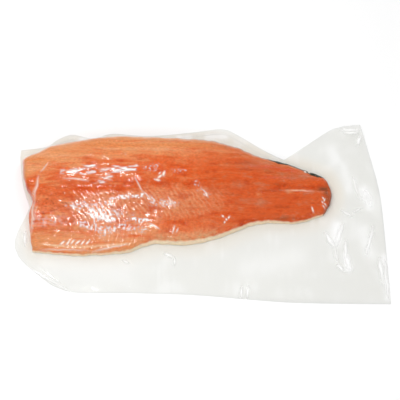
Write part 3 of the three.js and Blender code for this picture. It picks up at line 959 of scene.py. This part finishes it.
def loose_sheen(x, y):
    """Area of the painted sheen in the loose film round the fillet: soft patches and fine streaks where it
    turns clearer.
    """
    streaks = 0.35 * smoothstep(field("sheen", x, y), 0, 0.9)
    return np.maximum(streaks, soft_patches(x, y, MARGIN_SHEENS, field("sheen_edge", x, y)))


def painted_glints(x, y, ridge, glint_spots, grain):
    """Area of the upper film's painted glints, white speckle of that grain, stronger on the flakes' ridges.
    """
    speckle = field("glint_speckle", x / grain[0], y / grain[1]) + 0.25 * ridge
    x, y = swayed("glint_sway", x, y)
    glint_area = soft_patches(x, y, glint_spots, field("glint_edge", x, y))
    return glint_area * smoothstep(speckle + 0.45 * glint_area, -0.15, 0.8)


def film_areas(s):
    """Areas of the upper film where it clings to the flesh."""
    along, across = s.along, s.across
    shiny = smoothstep(across, 0.5, 0.6) * window(along, 0.06, 0.12, 0.36, 0.48)
    return {
        "all": 1,
        "crest": bell(across - 0.37, 0.075) * window(along, 0.08, 0.14, 0.34, 0.44),
        "slope": bell(across - 0.77, 0.15) * window(along, 0.1, 0.18, 0.32, 0.44),
        "back": fall(across, 0.2, 0.3),
        "cut": fall(along, 0.04, 0.1),
        "head": fall(along, 0.07, 0.13),
        "taut": window(along, 0.3, 0.4, 0.55, 0.65),
        "shiny": shiny * (1 - 0.8 * smoothstep(across, 0.86, 0.92)),
    }


def weighted(areas, shares):
    return sum(share * areas[area] for area, share in shares.items())


def cling_wrinkles(s, areas):
    """Fine wrinkles of the upper film where it clings to the flesh."""
    x, y = s.x, s.y
    ripples = 0.6 * np.maximum(field("ripple_crests", x, y), -0.1) + field("fine_ripples", x, y)
    broken = lerp(0.35, 1, smoothstep(field("crinkle_breaks", x, y), -0.2, 0.3))
    share = np.maximum(weighted(areas, CRINKLES), 0.06) * (1 - 0.7 * areas["taut"])
    crinkles = field("crinkles", x, y) * broken * share
    height = field("drift", x, y) + ripples * lerp(0.12, 1, areas["crest"]) + crinkles
    return np.maximum(height, FILM_LEAST_GAP - FILM_GAP)


def edge_lift(x, y, share):
    """How far the pouch has lifted off the table, with share 0 beside the fillet and 1 at its edge."""
    height = np.zeros_like(x)
    for at, rise, spread in LIFTS:
        away = np.hypot(x - at[0] * POUCH_SIZE[0], y - at[1] * POUCH_SIZE[1])
        height += LIFT_SHARE * rise * bell(away, spread)
    return height * smoothstep(share, LIFT_START, 1)


def pouch_edge(s):
    """For each rim point of a fillet surface, the point of the pouch's edge that belongs to it."""
    upper, flare, opened, lower, below, above = (spline(points, POUCH_SIZE) for points in (
        UPPER_SEAM, FLARE, OPEN_END, LOWER_SEAM, SHUT_END_BELOW, SHUT_END_ABOVE,
    ))
    back, belly = s.along[:-1, 0], s.along[:0:-1, -1]
    tail, head, notch = s.across[-1, :-1], s.across[0, :0:-1], HEAD_NOTCH_ACROSS
    return np.vstack([
        np.where((back <= WAIST)[:, None], upper(back / WAIST), flare((back - WAIST) / (1 - WAIST))),
        opened(tail),
        lower(1 - belly),
        np.where((head >= notch)[:, None], below((1 - head) / (1 - notch)), above(1 - head / notch)),
    ])


class Margin:
    """The film round the fillet as rings of points, from the fillet's rim out to the pouch's edge."""

    def __init__(self, inner, outer, rungs):
        self.share = ((np.arange(rungs + 1) / rungs) ** RUNG_EASE)[:, None] * np.ones(len(inner))
        rings = lerp(inner[None], outer[None], self.share[..., None])
        self.x, self.y = rings[..., 0], rings[..., 1]
        span = np.linalg.norm(outer - inner, axis=1)
        self.away = self.share * span
        self.to_edge = (1 - self.share) * span
        self.faces = ring_faces(rungs + 1, len(inner)).tolist()

    def points(self, z):
        return np.stack([self.x, self.y, z], -1).reshape(-1, 3)

    def finish(self, **attributes):
        """Those attributes of the film, with its cut rim, its seam and how loose it lies."""
        seam = bell(self.to_edge - SEAM_WIDTH, 0.7) * smoothstep(self.y, 60, 100)
        rim = np.maximum(fall(self.to_edge, 0.2, 1.3), 0.7 * seam)
        return {"rim": rim, "loose": smoothstep(self.away, 0, 8), **attributes}


def make_cling_film(surface, origin, material):
    """The upper film where it clings to the flesh, and its points."""
    x, y = surface.x + origin[0], surface.y + origin[1]
    areas = film_areas(surface)
    creases, white = crease_ridges(x, y, CLING_CREASES)
    wrinkles = (cling_wrinkles(surface, areas) + creases) * smoothstep(surface.edge, 1, 8)
    points = surface.points + grid_normals(surface.points) * (FILM_GAP + wrinkles)[..., None]
    points[..., 2] = np.maximum(points[..., 2], TENT_HEIGHT - TENT_DROP)
    points = points.reshape(-1, 3) + origin
    ridge = -np.cos(2 * np.pi * surface.flake)
    # painted glints: speckled white patches over the belly's slope and along the crest
    belly_glints = painted_glints(x, y, ridge, BELLY_PAINTED_GLINTS, BELLY_GRAIN)
    glint_area = np.maximum(belly_glints, painted_glints(x, y, 0, CREST_PAINTED_GLINTS, CREST_GRAIN))
    wet = 1 - np.maximum(areas["shiny"], areas["crest"])
    # painted highlights along the creases and painted glints go on as white haze; the glints also make that
    # haze neutral
    finish = {
        "crease": np.maximum(white, glint_area),
        "loose": smoothstep(glint_area, 0.05, 0.5),
        "dull": lerp(0.3, 0.75, wet),
        "crinkle": weighted(areas, BUMPS),
    }
    faces = grid_faces(*surface.along.shape).tolist()
    add_piece("film_over_flesh", points, faces, material, finish, "pouch")
    return points


def make_upper_film(origin, middle, material):
    """The upper film: where it clings to the flesh, and from there down and out to the pouch's edge."""
    surface = Surface(FILM_LINES, FILM_ACROSS, FLAKE_RELIEF * FILM_RELIEF, FILM_RELIEF_END)
    start = make_cling_film(surface, origin, material)[grid_rim(*surface.along.shape)]
    margin = Margin(start[:, :2], pouch_edge(surface) + middle, FILM_RUNGS)
    x, y, away = margin.x, margin.y, margin.away
    base = FILM_BASE + PLY_GAP
    tent = (start[:, 2] - base) * np.exp(-away / (TENT_REACH + TENT_SWAY * field("tent_sway", x, y)))
    sealed = fall(margin.to_edge, 0, 2.5 * SEAM_WIDTH)
    free = smoothstep(away, 2, 34) * (1 - 0.85 * sealed)
    pillows = PILLOW_HEIGHT * (1 + field("pillows", x, y)) + field("loose_ripples", x, y)
    creases, white = crease_ridges(x, y, MARGIN_CREASES)
    off_fish = smoothstep(away, 1, 6)
    lift = edge_lift(x - middle[0], y - middle[1], margin.share)
    z = base + lift + tent + pillows * free + creases * off_fish
    # painted sheen: soft patches where the film turns clearer and loses its mirror
    sheen = loose_sheen(x, y)
    dull = np.maximum(sheen, window(away, 1, 4, 12, 24))
    # painted warm shade near the fillet, stronger on the back's side
    warm = fall(away, 8, 24) * lerp(0.45, 1, smoothstep(y, -40, 40))
    # painted highlight lines along the creases go on as white haze
    finish = margin.finish(crease=white * off_fish, sheen=sheen, dull=dull, warm=warm)
    add_piece("film_upper", margin.points(z), margin.faces, material, finish, "pouch")


def make_lower_film(origin, middle, material):
    """The lower film: flat under the fillet, and out to the pouch's edge, lifting with the upper one."""
    surface = Surface(UNDER_LINES, UNDER_ACROSS, 0)
    shape = surface.along.shape
    under = surface.points.reshape(-1, 3) * (1, 1, 0) + origin * (1, 1, 0) + (0, 0, FILM_BASE)
    neutral = {"loose": np.ones(len(under))}
    add_piece("film_under_skin", under, grid_faces(*shape).tolist(), material, neutral, "pouch")

    start = under[grid_rim(*shape)]
    margin = Margin(start[:, :2], pouch_edge(surface) + middle, UNDER_RUNGS)
    z = FILM_BASE + edge_lift(margin.x - middle[0], margin.y - middle[1], margin.share)
    # the lower film takes the same painted sheen
    finish = margin.finish(sheen=loose_sheen(margin.x, margin.y), dull=np.ones_like(z))
    add_piece("film_lower", margin.points(z), margin.faces, material, finish, "pouch")


def look_at(thing, place, target):
    """Places a camera or light and turns it to the target, with its top towards +Y."""
    back = (place - target).normalized()
    side = Vector((0, 1, 0)).cross(back).normalized()
    thing.location = place
    thing.rotation_euler = Matrix((side, back.cross(side), back)).transposed().to_euler()


def add_camera():
    data = bpy.data.cameras.new("camera")
    data.lens, data.sensor_width = LENS, SENSOR
    camera = add_object("camera", data)
    distance = LENS / SENSOR * FRAME_PIXELS * SCALE_AT_AIM * MM
    back = Vector((0, -math.cos(VIEW_ELEVATION), math.sin(VIEW_ELEVATION)))
    look_at(camera, AIM + distance * back, AIM)
    bpy.context.scene.camera = camera
    return camera


def add_area_light(name, place, target, size, radiance):
    """A rectangular soft light of that radiance."""
    data = bpy.data.lights.new(name, "AREA")
    data.shape = "RECTANGLE"
    data.size, data.size_y = size
    data.energy = radiance * math.pi * size[0] * size[1]
    look_at(add_object(name, data), place, target)


def add_lights(camera):
    """Two small key lights, mirrored where the photograph has its glints, wide fills and an even sky."""
    for number, (glint, lean, distance, size, radiance) in enumerate(KEYS):
        place = Vector(glint) * MM
        to_camera = (camera.location - place).normalized()
        normal = Vector((0, -math.sin(math.radians(lean)), math.cos(math.radians(lean))))
        to_key = 2 * to_camera.dot(normal) * normal - to_camera
        add_area_light(f"key_{number}", place + distance * to_key, place, size, radiance)
    for number, corner in enumerate(CORNERS):
        add_area_light(f"fill_{number}", FILL_PLACE * Vector(corner), AIM, FILL_SIZE, FILL_RADIANCE)
    world = bpy.data.worlds.new("studio")
    world.use_nodes = True
    sky = world.node_tree.nodes["Background"]
    sky.inputs["Color"].default_value = CLEAR
    sky.inputs["Strength"].default_value = WORLD_STRENGTH
    bpy.context.scene.world = world


def add_floor():
    material, tree = new_material("floor")
    finish_material(tree, "BsdfDiffuse", {"Color": shader_colour(FLOOR)})
    mesh = bpy.data.meshes.new("floor")
    corners = np.multiply(CORNERS, (FLOOR_HALF, FLOOR_HALF, 0))
    mesh.from_pydata(corners.tolist(), [], [(0, 1, 2, 3)])
    mesh.materials.append(material)
    floor = add_object("floor", mesh)


def make_pack():
    """All pieces of the pack, placed by the frame's solids."""
    shares = np.linspace(0, 1, OUTLINE_STEPS)
    outline = np.vstack([back_edge(shares), belly_edge(shares)])
    lowest = np.array(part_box("fillet")[0]) / MM
    origin = np.array([*(lowest[:2] - outline.min(axis=0)), lowest[2]])
    middle = origin[:2] - np.array(FILLET_PLACE)
    film = film_material()
    make_flesh(origin, flesh_material())
    make_skin(origin, skin_material())
    make_upper_film(origin, middle, film)
    make_lower_film(origin, middle, film)


make_pack()
add_floor()
add_lights(add_camera())
bpy.context.scene.view_settings.view_transform = "Standard"
